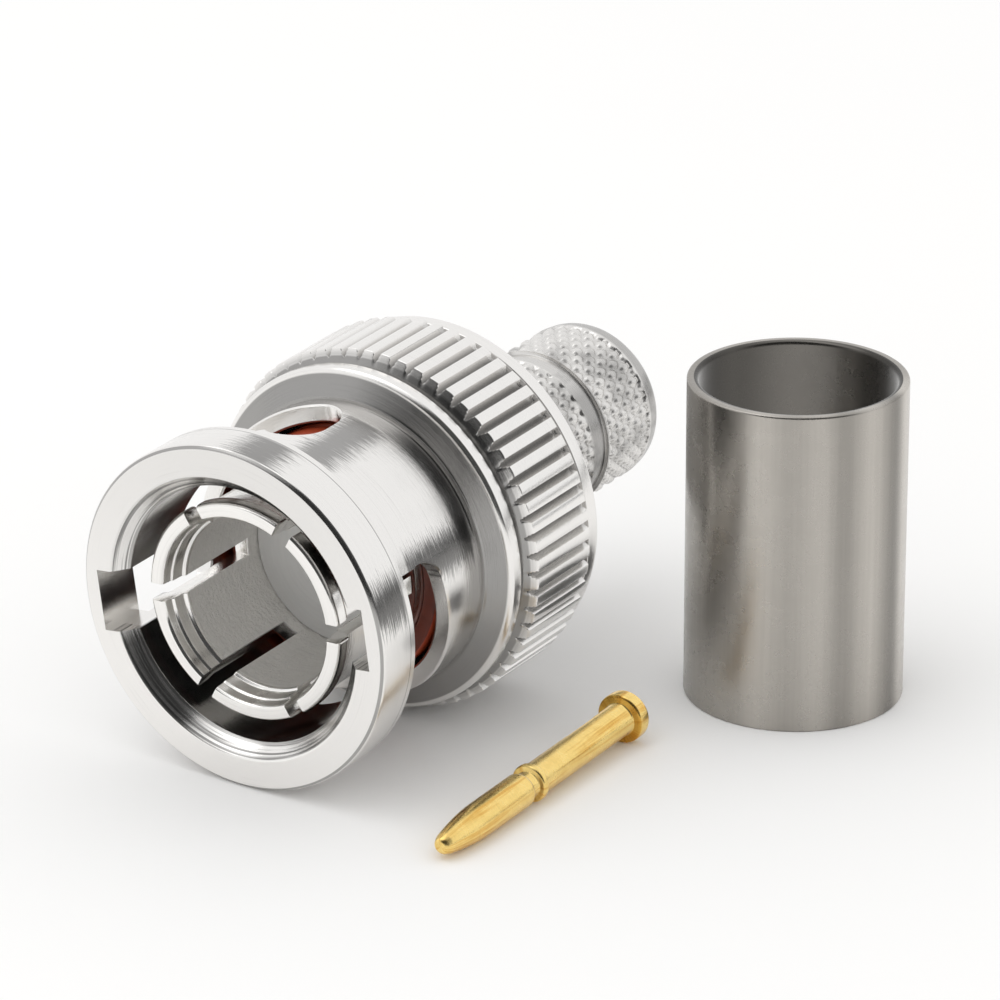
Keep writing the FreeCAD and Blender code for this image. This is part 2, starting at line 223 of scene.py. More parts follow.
def local_frame(origin, forward, up, side):
    """A matrix that takes (s, up, side) in millimetres to the row frame."""
    rows = [[-forward[i] * MM, up[i] * MM, side[i] * MM, origin[i]] for i in range(3)]
    return Matrix(rows + [[0.0, 0.0, 0.0, 1.0]])


PLUG = local_frame(FACE, FORWARD, UP, SIDE)


def rounded(points, steps=3):
    """Takes a closed outline of (s, r, rounding) points and rounds each corner by a short curve."""
    result = []
    for i, (s, r, size) in enumerate(points):
        here = np.array((s, r))
        if size <= 0:
            result.append((s, r))
            continue
        to_before = np.array(points[i - 1][:2]) - here
        to_after = np.array(points[(i + 1) % len(points)][:2]) - here
        before = np.linalg.norm(to_before)
        after = np.linalg.norm(to_after)
        reach = min(size, 0.45 * before, 0.45 * after)
        start = here + to_before / before * reach
        end = here + to_after / after * reach
        for k in range(steps + 1):
            t = k / steps
            result.append(tuple((1 - t) ** 2 * start + 2 * t * (1 - t) * here + t * t * end))
    return result


def lathe(outline, degrees, relief=None):
    """Vertices (s, up, side) and quads of a closed outline turned round the axis.

    relief(s, r, angle) gives the radius where a surface isn't plain."""
    points = np.array(outline)
    turns = np.radians(np.array(degrees))
    s = np.tile(points[:, 0], (len(turns), 1))
    r = np.tile(points[:, 1], (len(turns), 1))
    a = np.tile(turns[:, None], (1, len(points)))
    if relief is not None:
        r = relief(s, r, a)
    verts = np.stack([s, r * np.cos(a), r * np.sin(a)], axis=-1).reshape(-1, 3)
    n = len(points)
    m = len(turns)
    i, j = np.meshgrid(np.arange(n), np.arange(m))
    i2 = (i + 1) % n
    j2 = (j + 1) % m
    quads = np.stack([j * n + i, j * n + i2, j2 * n + i2, j2 * n + i], axis=-1).reshape(-1, 4)
    return verts, quads


def clean_mesh(mesh, merge=1e-7):
    bm = bmesh.new()
    bm.from_mesh(mesh)
    bmesh.ops.remove_doubles(bm, verts=bm.verts, dist=merge)
    bmesh.ops.dissolve_degenerate(bm, edges=bm.edges, dist=merge)
    bmesh.ops.recalc_face_normals(bm, faces=bm.faces)
    bm.to_mesh(mesh)
    bm.free()


def mesh_object(name, verts, faces, matrix):
    """A mesh object at the origin, from vertices in millimetres and a matrix to the row frame."""
    mesh = bpy.data.meshes.new(name)
    mesh.from_pydata([tuple(v) for v in verts], [], [tuple(int(k) for k in f) for f in faces])
    mesh.transform(matrix)
    clean_mesh(mesh)
    obj = bpy.data.objects.new(name, mesh)
    bpy.context.scene.collection.objects.link(obj)
    return obj


def turned_piece(name, outline, degrees, matrix, relief=None):
    """A lathed piece. degrees are the turns of the grid, or one number for an even step."""
    if isinstance(degrees, (int, float)):
        degrees = np.arange(0, 360, degrees)
    verts, quads = lathe(outline, degrees, relief)
    return mesh_object(name, verts, quads, matrix)


def smooth(obj, degrees):
    """Smooth shading, with edges kept sharp where faces meet at more than the angle."""
    obj.data.polygons.foreach_set("use_smooth", [True] * len(obj.data.polygons))
    obj.data.set_sharp_from_angle(angle=math.radians(degrees))


def apply_modifiers(obj):
    graph = bpy.context.evaluated_depsgraph_get()
    mesh = bpy.data.meshes.new_from_object(obj.evaluated_get(graph))
    obj.modifiers.clear()
    old = obj.data
    obj.data = mesh
    bpy.data.meshes.remove(old)
    mesh.name = obj.name


def cut(obj, cutters):
    """Cuts the cutters out of the object."""
    for cutter in cutters:
        modifier = obj.modifiers.new(cutter.name, "BOOLEAN")
        modifier.operation = "DIFFERENCE"
        modifier.solver = "EXACT"
        modifier.object = cutter
    before = len(obj.data.vertices)
    apply_modifiers(obj)
    if len(obj.data.vertices) <= before / 2:
        raise RuntimeError(obj.name + " lost its mesh while it was cut")
    for cutter in cutters:
        mesh = cutter.data
        bpy.data.objects.remove(cutter)
        bpy.data.meshes.remove(mesh)


def write_place(obj, matrix):
    """Keeps each vertex's place in the piece's own frame, in millimetres, for its material."""
    inverse = matrix.inverted()
    places = np.empty(len(obj.data.vertices) * 3)
    obj.data.vertices.foreach_get("co", places)
    local = places.reshape(-1, 3) @ np.array(inverse.to_3x3()).T + np.array(inverse.translation)
    layer = obj.data.attributes.new("place", "FLOAT_VECTOR", "POINT")
    layer.data.foreach_set("vector", local.astype(np.float32).ravel())


def finish_piece(obj, matrix, sharp, material, body, node):
    """Smooths a piece up to the sharp angle in degrees, and gives it its material and
    body, in place of the frame's own node, which it hides."""
    smooth(obj, sharp)
    write_place(obj, matrix)
    obj.data.materials.clear()
    obj.data.materials.append(material)
    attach(obj, body)
    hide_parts(node)


def prism_faces(stations, ring):
    """Faces of a closed prism with a number of stations, each of a ring of vertices."""
    faces = []
    for k in range(stations - 1):
        for i in range(ring):
            j = (i + 1) % ring
            faces.append((k * ring + i, k * ring + j, (k + 1) * ring + j, (k + 1) * ring + i))
    last = (stations - 1) * ring
    faces.append(tuple(range(ring)))
    faces.append(tuple(range(last + ring - 1, last - 1, -1)))
    return faces


def channel_cutter(name, path, levels, mean_r, round_start=True):
    """A milling cutter's sweep along a path of (angle, s) points.

    levels are (radius, half width) pairs, from the inside out."""
    centres = np.array([(math.radians(a) * mean_r, s) for a, s in path])
    tangents = np.gradient(centres, axis=0)
    tangents /= np.linalg.norm(tangents, axis=1)[:, None]
    stations = [(centre, tangent, 0.0, 1.0) for centre, tangent in zip(centres, tangents)]
    swings = [math.pi / 2 * k / CAP_STEPS for k in range(1, CAP_STEPS + 1)]
    cap = [(math.sin(swing), max(math.cos(swing), 0.02)) for swing in swings]
    if round_start:
        front = [(centres[0], tangents[0], -along, across) for along, across in cap[::-1]]
        stations = front + stations
    stations += [(centres[-1], tangents[-1], along, across) for along, across in cap]
    verts = []
    for centre, tangent, along, across in stations:
        normal = np.array((-tangent[1], tangent[0]))
        for side, order in ((1, levels), (-1, levels[::-1])):
            for radius, half in order:
                offset = tangent * along * half + normal * side * across * half
                angle = centre[0] / mean_r + offset[0] / radius
                s = centre[1] + offset[1]
                verts.append((s, radius * math.cos(angle), radius * math.sin(angle)))
    return mesh_object(name, verts, prism_faces(len(stations), 2 * len(levels)), PLUG)


def bayonet_cutters(sizes):
    """Both channels: a straight entry, a ramp of a quarter turn and a short seat each."""
    half = sizes.channel_width / 2 / MM
    bore = sizes.bore_radius / MM
    neck = sizes.neck_radius / MM
    entry_end = sizes.entry_depth / MM
    crest = entry_end + sizes.channel_rise / MM
    seat = crest - sizes.seat_drop / MM
    flare = 0.07
    entry_levels = [(bore - 0.42, half), (sizes.channel_floor / MM, half)]
    ramp_levels = [
        (bore - 0.52, half + flare),
        (bore - 0.03, half + flare),
        (bore + flare, half),
        (neck - flare, half),
        (neck + 0.02, half + flare),
        (neck + 0.70, half + flare),
    ]
    mean_r = (bore + neck) / 2
    cutters = []
    for start in (math.degrees(sizes.entry_angle), math.degrees(sizes.entry_angle) - 180):
        entry = [(start, s) for s in np.linspace(-1.0, entry_end, 4)]
        rise = crest - entry_end
        ramp = [(start - 90 * t, entry_end + rise * t) for t in np.linspace(0, 1, 49)]
        drop = [(start - 90, crest), (start - 90, seat)]
        cutters.append(channel_cutter("entry", entry, entry_levels, mean_r, round_start=False))
        cutters.append(channel_cutter("ramp", ramp, ramp_levels, mean_r))
        cutters.append(channel_cutter("seat", drop, ramp_levels, mean_r))
    return cutters


def knurl_angles(sizes):
    """Ten turns of the lathe's grid to each tooth, closer together at its flanks."""
    pitch = 2 * math.pi * sizes.knurl_radius / MM / sizes.knurl_teeth
    places = [*KNURL_FLANK, pitch / 2] + [pitch - place for place in KNURL_FLANK[:0:-1]]
    step = 360.0 / sizes.knurl_teeth
    first = math.degrees(sizes.knurl_angle)
    teeth = range(sizes.knurl_teeth)
    return [first + step * (tooth + place / pitch) for tooth in teeth for place in places]


def knurl_relief(sizes):
    """The gaps of the straight knurl, between the grooves at its ends."""
    top_r = sizes.knurl_radius / MM
    root_r = top_r - sizes.knurl_depth / MM
    pitch = 2 * math.pi * top_r / sizes.knurl_teeth
    step = 2 * math.pi / sizes.knurl_teeth
    first = sizes.knurl_angle

    def relief(s, r, a):
        gap = (a - first) / step
        across = np.abs(gap - np.round(gap)) * pitch
        depths = [root_r, root_r + 0.08, top_r - 0.12, top_r - 0.015, top_r]
        tooth = np.interp(across, KNURL_FLANK, depths)
        return np.where((s > KNURL_START) & (s < KNURL_STOP), np.minimum(r, tooth), r)

    return relief


def nut_outline(sizes):
    collar = sizes.collar_radius / MM
    neck = sizes.neck_radius / MM
    bore = sizes.bore_radius / MM
    top = sizes.knurl_radius / MM
    root = top - sizes.knurl_depth / MM
    mouth = bore + 0.54
    outside = [
        (0.0, mouth, 0.03),
        (0.0, collar - 0.14, 0.03),
        (0.13, collar, 0.05),
        (1.98, collar, 0.06),
        (1.98, neck, 0.05),
        (7.44, neck, 0.02),
        (7.50, neck - 0.09, 0.02),
        (7.60, neck - 0.10, 0.02),
        (7.62, neck + 0.10, 0.04),
        (7.66, neck + 0.16, 0.03),
        (7.96, 6.46, 0.03),
        (7.98, 6.54, 0.02),
        (8.03, 6.60, 0.02),
        (8.10, 6.66, 0.03),
        (8.56, 6.66, 0.05),
        (8.60, 6.40, 0.03),
        (8.76, 6.38, 0.0),
        (8.84, 6.53, 0.0),
        (8.92, root, 0.0),
        (8.99, 6.83, 0.0),
        (9.05, 6.95, 0.0),
        (9.10, top, 0.03),
        (12.42, top, 0.05),
        (12.47, root, 0.0),
        (12.50, 6.54, 0.03),
        (12.78, 6.54, 0.03),
        (12.82, 6.74, 0.05),
        (13.36, 6.74, 0.06),
        (13.66, 6.42, 0.05),
    ]
    inside = [
        (13.66, 5.25, 0.0),
        (12.65, 5.25, 0.0),
        (12.65, 4.06, 0.0),
        (10.55, 4.06, 0.0),
        (10.55, 5.00, 0.0),
        (9.00, 5.00, 0.0),
        (9.00, bore, 0.0),
        (0.54, bore, 0.03),
    ]
    # Fine rings that the tool leaves on the mouth's chamfer
    rings = []
    for k in range(6):
        s = 0.50 - 0.08 * k
        rings.append((s, mouth - s + 0.010, 0.0))
        rings.append((s - 0.035, mouth - s + 0.030, 0.0))
    return rounded(outside + inside + rings)


def contact_outline(sizes):
    tip = sizes.tip / MM
    bead = sizes.bead_radius / MM
    finger = sizes.finger_radius / MM
    bore = sizes.bore_radius / MM
    outside = [
        (tip, bead - 0.10, 0.06),
        (tip + 0.12, bead, 0.07),
        (tip + 0.62, bead, 0.10),
        (tip + 0.84, finger + 0.01, 0.08),
        (5.70, finger - 0.01, 0.05),
        (6.00, 4.07, 0.02),
        (8.20, 4.07, 0.02),
        (8.20, 4.62, 0.04),
        (FLANGE_REAR, 4.62, 0.04),
        (FLANGE_REAR, BARREL_R, 0.03),
        (12.66, BARREL_R, 0.02),
        (12.66, 3.54, 0.02),
        (13.06, 3.54, 0.02),
        (13.06, BARREL_R, 0.02),
        (14.00, BARREL_R, 0.06),
        (14.00, 2.71, 0.0),
        (9.62, 2.71, 0.0),
    ]
    inside = [
        (9.62, bore, 0.0),
        (tip + 1.06, bore, 0.03),
        (tip + 0.98, bore + 0.12, 0.04),
        (tip + 0.50, bore + 0.14, 0.03),
        (tip + 0.42, bore + 0.22, 0.03),
        (tip + 0.10, bore + 0.25, 0.04),
        (tip, bore + 0.33, 0.03),
    ]
    return rounded(outside + inside)


def slot_cutter(sizes, degrees):
    """A thin saw that goes right across the spring fingers, with chamfered rims."""
    half = sizes.slot_width / 2 / MM
    bead = sizes.bead_radius / MM
    flare = 0.05
    rim = bead - 0.06
    upper = [(rim, 0.0), (bead, flare), (bead + 0.5, flare)]
    levels = [(-reach, extra) for reach, extra in reversed(upper)] + upper
    angle = math.radians(degrees)
    up = np.array((0.0, math.cos(angle), math.sin(angle)))
    across = np.array((0.0, -math.sin(angle), math.cos(angle)))
    verts = []
    for s in (SAW_START, sizes.slot_end / MM):
        for side, order in ((1, levels), (-1, levels[::-1])):
            for reach, extra in order:
                verts.append(np.array((s, 0.0, 0.0)) + up * reach + across * side * (half + extra))
    return mesh_object("saw", verts, prism_faces(2, 2 * len(levels)), PLUG)


def bevel_edges(obj, width, degrees):
    bevel = obj.modifiers.new("edges", "BEVEL")
    bevel.width = width
    bevel.segments = 2
    bevel.limit_method = "ANGLE"
    bevel.angle_limit = math.radians(degrees)
    apply_modifiers(obj)


def bush_outline(bore):
    return rounded([
        (6.10, 0.67, 0.04),
        (6.10, bore - 0.01, 0.03),
        (9.58, bore - 0.01, 0.03),
        (9.58, 1.00, 0.02),
        (8.90, 1.00, 0.0),
        (8.90, 0.67, 0.0),
    ])


def gasket_outline():
    """The gasket, with a shallow groove round it."""
    return rounded([
        (6.10, 4.08, 0.03),
        (6.10, 4.60, 0.16),
        (6.32, 4.70, 0.10),
        (7.10, 4.70, 0.05),
        (7.16, 4.56, 0.04),
        (7.42, 4.56, 0.04),
        (7.48, 4.70, 0.05),
        (8.18, 4.70, 0.08),
        (8.18, 4.08, 0.02),
    ])


def wave_spring(sizes):
    """The spring's strip, which rises and falls round the barrel behind the flange."""
    half = sizes.strip / MM / 2
    inner = sizes.inner_radius / MM
    outer = inner + sizes.width / MM
    corners = ((-half, inner), (-half, outer), (half, outer), (half, inner))
    section = rounded([(s, r, 0.04) for s, r in corners])
    verts, quads = lathe(section, np.arange(0, 360, 2.5))
    around = np.arctan2(verts[:, 2], verts[:, 1])
    middle = FLANGE_REAR + sizes.room / MM / 2
    verts[:, 0] += middle + (sizes.height / MM / 2 - half) * np.cos(sizes.waves * around)
    return mesh_object("wave_spring", verts, quads, PLUG)


def diamond_relief(sizes):
    """The diamond knurl of the stem's two bands."""
    around = sizes.diamonds / (2 * math.pi)
    along = MM / sizes.diamond_length
    depth = sizes.diamond_depth / MM

    def relief(s, r, a):
        right, left = (np.sin(np.pi * (a * around + lead * s * along)) for lead in (1, -1))
        low = 1.0 - np.minimum(1.25 * np.abs(right * left), 1.0)
        cover = 0
        for start, stop in DIAMOND_BANDS:
            ends = ((s - start) / DIAMOND_FADE, (stop - s) / DIAMOND_FADE)
            cover = cover + np.clip(ends[0], 0, 1) * np.clip(ends[1], 0, 1)
        return np.where(r > PLAIN_STEM_R, r - depth * low * np.clip(cover, 0, 1), r)

    return relief


def stem_outline(sizes):
    top = sizes.stem_radius / MM + 0.02
    end = sizes.stem_end / MM
    head = [(11.62, 2.02), (11.62, 2.70), (14.0, 2.70), (14.0, 3.90), (14.05, 3.97)]
    head += [(14.55, 3.97), (14.60, 3.90), (14.62, top)]
    front = [(s, top) for s in np.arange(15.0, 18.61, STEM_RINGS)]
    waist = [(18.62, top - 0.09), (18.66, top - 0.13), (19.44, top - 0.13), (19.48, top - 0.09)]
    rear = [(s, top) for s in np.arange(19.50, 22.42, STEM_RINGS)]
    tail = []
    for k in range(8):
        swing = math.pi / 2 * k / 7
        drop = 0.62 * (1 - math.cos(swing))
        tail.append((end - 0.75 + 0.75 * math.sin(swing), top - 0.03 - drop))
    return head + front + waist + rear + tail + [(end, 2.10), (end - 0.06, 2.02)]


def pin_frame(sizes):
    """The frame of the loose contact pin, which rests on its nose and its flange."""
    rise = (sizes.flange_radius - sizes.nose_radius) / (sizes.flange - sizes.nose_length)
    tilt = math.atan(rise)
    level = Vector((math.cos(sizes.yaw), math.sin(sizes.yaw), 0.0))
    forward = level * math.cos(tilt) - Z_AXIS * math.sin(tilt)
    up = level * math.sin(tilt) + Z_AXIS * math.cos(tilt)
    side = Vector((math.sin(sizes.yaw), -math.cos(sizes.yaw), 0.0))
    height = sizes.nose_radius * math.cos(tilt) - sizes.nose_length * math.sin(tilt)
    nose = Vector((FACE.x + sizes.forward_of_face, FACE.y + sizes.beside_face, height))
    return local_frame(nose, forward, up, side)


def pin_outline(sizes):
    nose_r = sizes.nose_radius / MM
    nose_end = sizes.nose_length / MM
    neck = sizes.neck / MM
    barrel = sizes.barrel_radius / MM
    flange = sizes.flange / MM
    flange_r = sizes.flange_radius / MM
    end = sizes.full_length / MM
    nose = [(0.0, 0.0, 0.0), (0.0, 0.20, 0.04), (0.07, 0.30, 0.06), (0.30, 0.40, 0.06)]
    for k in range(1, 11):
        t = k / 10
        nose.append((0.30 + (nose_end - 0.30) * t, nose_r - (nose_r - 0.40) * (1 - t) ** 1.8, 0.0))
    rear = [
        (neck - 0.14, nose_r, 0.06),
        (neck, nose_r - 0.09, 0.04),
        (neck + 0.02, 0.49, 0.02),
        (neck + 0.42, 0.49, 0.03),
        (neck + 0.43, 0.68, 0.06),
        (neck + 0.50, 0.72, 0.05),
        (neck + 0.70, 0.72, 0.05),
        (neck + 0.76, barrel, 0.03),
        (flange - 0.05, barrel, 0.05),
        (flange, flange_r, 0.10),
        (end, flange_r, 0.12),
        (end, 0.45, 0.04),
        (end - 5.0, 0.45, 0.0),
        (end - 5.45, 0.0, 0.0),
    ]
    return rounded(nose + rear)


def window_cutter(matrix, turned):
    """The inspection window in the pin's crimp barrel."""
    corners = ((WINDOW_FLOOR, -0.9), (WINDOW_FLOOR, 0.9), (1.4, 0.9), (1.4, -0.9))
    cos = math.cos(turned)
    sin = math.sin(turned)
    ring = [(up * cos - side * sin, up * sin + side * cos) for up, side in corners]
    verts = [(s, up, side) for s in WINDOW_SPAN for up, side in ring]
    return mesh_object("window", verts, prism_faces(2, len(corners)), matrix)


def ferrule_frame():
    """The ferrule's frame: s runs up from the floor."""
    base = Vector((FERRULE_MIDDLE.x, FERRULE_MIDDLE.y, 0.0))
    return local_frame(base, -Z_AXIS, Vector((1, 0, 0)), Vector((0, 1, 0)))


def ferrule_outline(sizes):
    outer = sizes.ferrule_radius / MM
    inner = outer - sizes.ferrule_wall / MM
    end = sizes.ferrule_length / MM
    corners = [(0.0, inner, 0.06), (0.0, outer, 0.09), (end, outer, 0.10), (end, inner, 0.18)]
    return rounded(corners, steps=5)


class NodeTree:
    """Short calls for building a tree of nodes."""

    def __init__(self, tree):
        self.tree = tree

    def fill(self, socket, value):
        if isinstance(value, bpy.types.NodeSocket):
            self.tree.links.new(value, socket)
        else:
            socket.default_value = value

    def node(self, kind, *values, **settings):
        """A node with its settings, whose first sockets take the values in order."""
        made = self.tree.nodes.new(kind)
        for key, value in settings.items():
            setattr(made, key, value)
        for socket, value in zip(made.inputs, values):
            self.fill(socket, value)
        return made

    def math(self, operation, a, b=0.0, clamp=False):
        return self.node("ShaderNodeMath", a, b, operation=operation, use_clamp=clamp).outputs[0]

    def times(self, a, b):
        return self.math("MULTIPLY", a, b)

    def plus(self, a, b):
        return self.math("ADD", a, b)

    def minus(self, a, b):
        return self.math("SUBTRACT", a, b)

    def split(self, vector):
        return self.node("ShaderNodeSeparateXYZ", vector).outputs

    def join(self, x, y, z):
        return self.node("ShaderNodeCombineXYZ", x, y, z).outputs[0]

    def ramp(self, value, *stops, interpolation="LINEAR"):
        """A colour ramp from (position, colour) stops, where one number stands for a grey."""
        made = self.node("ShaderNodeValToRGB", value)
        made.color_ramp.interpolation = interpolation
        elements = made.color_ramp.elements
        while len(elements) < len(stops):
            elements.new(0.5)
        for element, (position, tone) in zip(elements, stops):
            element.position = position
            if isinstance(tone, (int, float)):
                tone = (tone, tone, tone)
            element.color = (*tone, 1.0)
        return made.outputs["Color"]


class Shader(NodeTree):
    """Short calls for building a node material."""

    def __init__(self, name, metallic=0.0):
        self.material = bpy.data.materials.new(name)
        self.material.use_nodes = True
        super().__init__(self.material.node_tree)
        self.surface = self.tree.nodes["Principled BSDF"]
        self.set("Metallic", metallic)

    def set(self, name, value):
        self.fill(self.surface.inputs[name], value)

    def fill_named(self, made, **sockets):
        for name, value in sockets.items():
            self.fill(made.inputs[name], value)

    def place(self):
        """(s, up, side) in millimetres, as kept by write_place."""
        return self.node("ShaderNodeAttribute", attribute_name="place").outputs["Vector"]

    def noise(self, vector, scale, detail=3.0, roughness=0.5):
        made = self.node("ShaderNodeTexNoise")
        self.fill_named(made, Vector=vector, Scale=scale, Detail=detail, Roughness=roughness)
        return made.outputs["Fac"]

    def mix(self, factor, a, b, blend="MIX"):
        """Two colours mixed: sockets 6 and 7 of the node, and its output 2."""
        made = self.node("ShaderNodeMix", data_type="RGBA", blend_type=blend)
        self.fill(made.inputs["Factor"], factor)
        self.fill(made.inputs[6], a)
        self.fill(made.inputs[7], b)
        return made.outputs[2]

    def shades(self, tone, value, *stops, interpolation="LINEAR"):
        """A ramp from (position, factor) stops, each a lighter or darker shade of the tone."""
        shaded = [(at, tuple(min(1.0, part * factor) for part in tone)) for at, factor in stops]
        return self.ramp(value, *shaded, interpolation=interpolation)

    def tint(self, colour, by):
        """A colour multiplied by another."""
        return self.mix(1.0, colour, by, "MULTIPLY")

    def bump(self, height, strength, distance):
        made = self.node("ShaderNodeBump")
        self.fill_named(made, Strength=strength, Distance=distance, Height=height)
        self.set("Normal", made.outputs[0])

    def turned_coordinates(self):
        """s, r and the angle from the kept place, so that marks run round the axis."""
        s, up, side = self.split(self.place())
        squares = self.plus(self.times(up, up), self.times(side, side))
        return s, self.math("SQRT", squares), self.math("ARCTAN2", side, up)

    def band(self, value, low, high, soft):
        """1 where a value lies between two others, falling to 0 over a soft edge."""
        above = self.math("DIVIDE", self.minus(value, low - soft), soft, clamp=True)
        below = self.math("DIVIDE", self.minus(high + soft, value), soft, clamp=True)
        return self.times(above, below)

    def turning_marks(self, s, radius, angle, density):
        """Fine rings from the tool, a little broken along the cut."""
        rings = (self.times(s, density), self.times(radius, density), self.times(angle, 0.9))
        return self.noise(self.join(*rings), 1.6, 5.0, 0.65)

    def seamless(self, along, angle, reach):
        """A place whose angle goes round a circle, so that marks meet where it starts again."""
        circle = (self.times(self.math(wave, angle), reach) for wave in ("COSINE", "SINE"))
        return self.join(along, *circle)


# Dark patches of painted reflection on the collar and the neck: from s, to s, middle and half width
# in degrees, and strength
DARK_REFLECTION_PATCHES = (
    (0.15, 1.60, -9.0, 5.0, 0.55),
    (0.15, 1.60, -74.0, 3.5, 0.80),
    (2.60, 6.60, -15.0, 5.0, 0.50),
    (6.75, 7.30, -46.0, 19.0, 0.34),
    (3.60, 7.20, -73.0, 4.0, 0.75),
)


def painted_dark_reflections(m, s, angle):
    """Dark patches of painted reflection on the collar and the neck, brushed, with ragged ends
    along the cut.
    """
    strokes = m.join(m.times(s, 16.0), 0.0, m.times(angle, 3.0))
    brushed = m.noise(strokes, 1.5, 5.0, 0.7)
    ragged = m.plus(angle, m.times(m.minus(brushed, 0.5), 0.55))
    total = None
    for low, high, middle, half, strength in DARK_REFLECTION_PATCHES:
        edges = (math.radians(degrees) for degrees in (middle - half, middle + half, 6.0))
        around = m.band(ragged, *edges)
        reflection_patch = m.times(m.times(around, m.band(s, low, high, 0.15)), strength)
        total = reflection_patch if total is None else m.plus(total, reflection_patch)
    return total


def painted_shade_places(m, s, radius):
    """Painted shade at the collar's edges, in the grooves, between the teeth, on the shoulder and
    in the bore.
    """
    outside = m.math("GREATER_THAN", radius, 6.20)
    on_collar = m.math("GREATER_THAN", radius, 6.50)
    # Dark lines of painted shade along the collar's front and rear edges
    front_edge = m.times(m.band(s, 0.0, 0.09, 0.01), 0.45)
    rear_line = m.times(m.band(s, 1.685, 1.705, 0.01), 0.60)
    edges = m.times(m.plus(front_edge, rear_line), on_collar)
    # Painted shade in the grooves, on the shoulder, between the knurl's teeth and in the bore
    groove = m.times(m.band(s, 8.58, 8.95, 0.05), 0.50)
    shoulder = m.times(m.band(s, 7.58, 7.95, 0.02), 0.50)
    shoulder = m.times(shoulder, m.math("GREATER_THAN", radius, 5.4))
    rear_groove = m.times(m.band(s, 12.46, 12.80, 0.02), 0.22)
    deep = m.math("DIVIDE", m.minus(7.02, radius), 0.30, clamp=True)
    gaps = m.times(m.times(deep, m.band(s, 9.0, 12.44, 0.02)), 0.42)
    knurl = m.times(m.plus(m.plus(groove, rear_groove), gaps), outside)
    bore = m.times(m.math("LESS_THAN", radius, 5.0), 0.35)
    return m.plus(m.plus(edges, knurl), m.plus(bore, shoulder))


def mouth_rings(m, s, radius, angle):
    """Dark rings that the tool left on the flare inside the nut's mouth."""
    cuts = m.seamless(m.times(radius, 9.0), angle, 0.5)
    ring = m.ramp(m.noise(cuts, 1.4, 3.0, 0.6), (0.41, 0.60), (0.53, 0.0))
    on_flare = m.times(m.band(s, 0.06, 0.74, 0.02), m.band(radius, 4.98, 5.72, 0.02))
    return m.times(ring, on_flare)


def nut_nickel(tone):
    """Bright nickel plate over turned brass, with the rings of the tool, painted dark reflections
    on the collar and neck, and painted shade.
    """
    m = Shader("bright_nickel_nut", metallic=1.0)
    s, radius, angle = m.turned_coordinates()
    marks = m.turning_marks(s, radius, angle, 11.0)
    cloud = m.noise(m.place(), 0.9, 4.0, 0.6)
    plate = m.shades(tone, marks, (0.22, 0.86), (0.42, 1.0), (1.0, 1.04))
    # Painted shade on the front face: darker towards the top, lighter towards the bottom
    up = m.split(m.place())[1]
    painted_face_shade = m.plus(0.88, m.times(m.minus(6.6, up), 0.016))
    on_face = m.math("LESS_THAN", s, 0.02)
    face = m.mix(on_face, (1.0, 1.0, 1.0, 1.0), m.join(painted_face_shade, painted_face_shade, painted_face_shade))
    # Painted reflections, painted shade and the tool's rings on the flare, all darkening the plate
    painted_light_and_rings = m.math("MAXIMUM", painted_dark_reflections(m, s, angle), painted_shade_places(m, s, radius))
    painted_light_and_rings = m.math("MAXIMUM", painted_light_and_rings, mouth_rings(m, s, radius, angle))
    painted_light_and_ring_tint = m.ramp(painted_light_and_rings, (0.0, 1.0), (0.5, 0.40), (1.0, 0.08))
    m.set("Base Color", m.tint(m.tint(plate, face), painted_light_and_ring_tint))
    m.set("Roughness", m.ramp(cloud, (0.3, 0.13), (0.7, 0.22)))
    m.bump(marks, 0.22, 0.00002)
    return m.material


def contact_nickel(tone):
    """Nickel on the slotted contact: polished near its tips, leathery in its bore."""
    m = Shader("contact_nickel", metallic=1.0)
    s, radius, angle = m.turned_coordinates()
    marks = m.turning_marks(s, radius, angle, 9.0)
    leather = m.noise(m.place(), 6.0, 3.0, 0.65)
    in_bore = m.times(m.math("LESS_THAN", radius, 3.42), m.math("GREATER_THAN", s, 1.9))
    plate = m.shades(tone, marks, (0.25, 0.90), (0.5, 1.0), (1.0, 1.04))
    m.set("Base Color", plate)
    m.set("Roughness", m.ramp(in_bore, (0.0, 0.14), (1.0, 0.38)))
    coarse = m.times(m.times(leather, in_bore), 6.0)
    m.bump(m.plus(m.times(marks, 0.35), coarse), 0.55, 0.00003)
    return m.material


def stem_nickel(tone):
    """Satin nickel on the diamond knurl, with painted shade in its grooves and on one side of its
    waist.
    """
    m = Shader("knurled_nickel", metallic=1.0)
    s, radius, angle = m.turned_coordinates()
    marks = m.turning_marks(s, radius, angle, 8.0)
    stain = m.noise(m.place(), 0.55, 4.0, 0.6)
    # Painted shade, darker deeper in the grooves between the diamonds
    low = m.shades(tone, m.minus(radius, 2.40), (0.55, 0.75), (0.70, 1.0))
    # Painted shade on one side of the waist; the plain rear end is darker as well
    shaded = m.ramp(m.minus(-0.55, angle), (0.0, 0.0), (0.3, 1.0))
    waist = m.times(m.band(s, 18.55, 19.55, 0.1), shaded)
    plain = m.math("MAXIMUM", waist, m.band(s, 22.45, 24.0, 0.1))
    plain = m.times(plain, m.math("GREATER_THAN", radius, 2.3))
    low = m.tint(low, m.ramp(plain, (0.0, 1.0), (1.0, 0.62)))
    m.set("Base Color", m.tint(low, m.ramp(stain, (0.36, 0.60), (0.52, 0.96))))
    m.set("Roughness", m.ramp(marks, (0.3, 0.22), (0.7, 0.34)))
    m.bump(marks, 0.25, 0.00002)
    return m.material


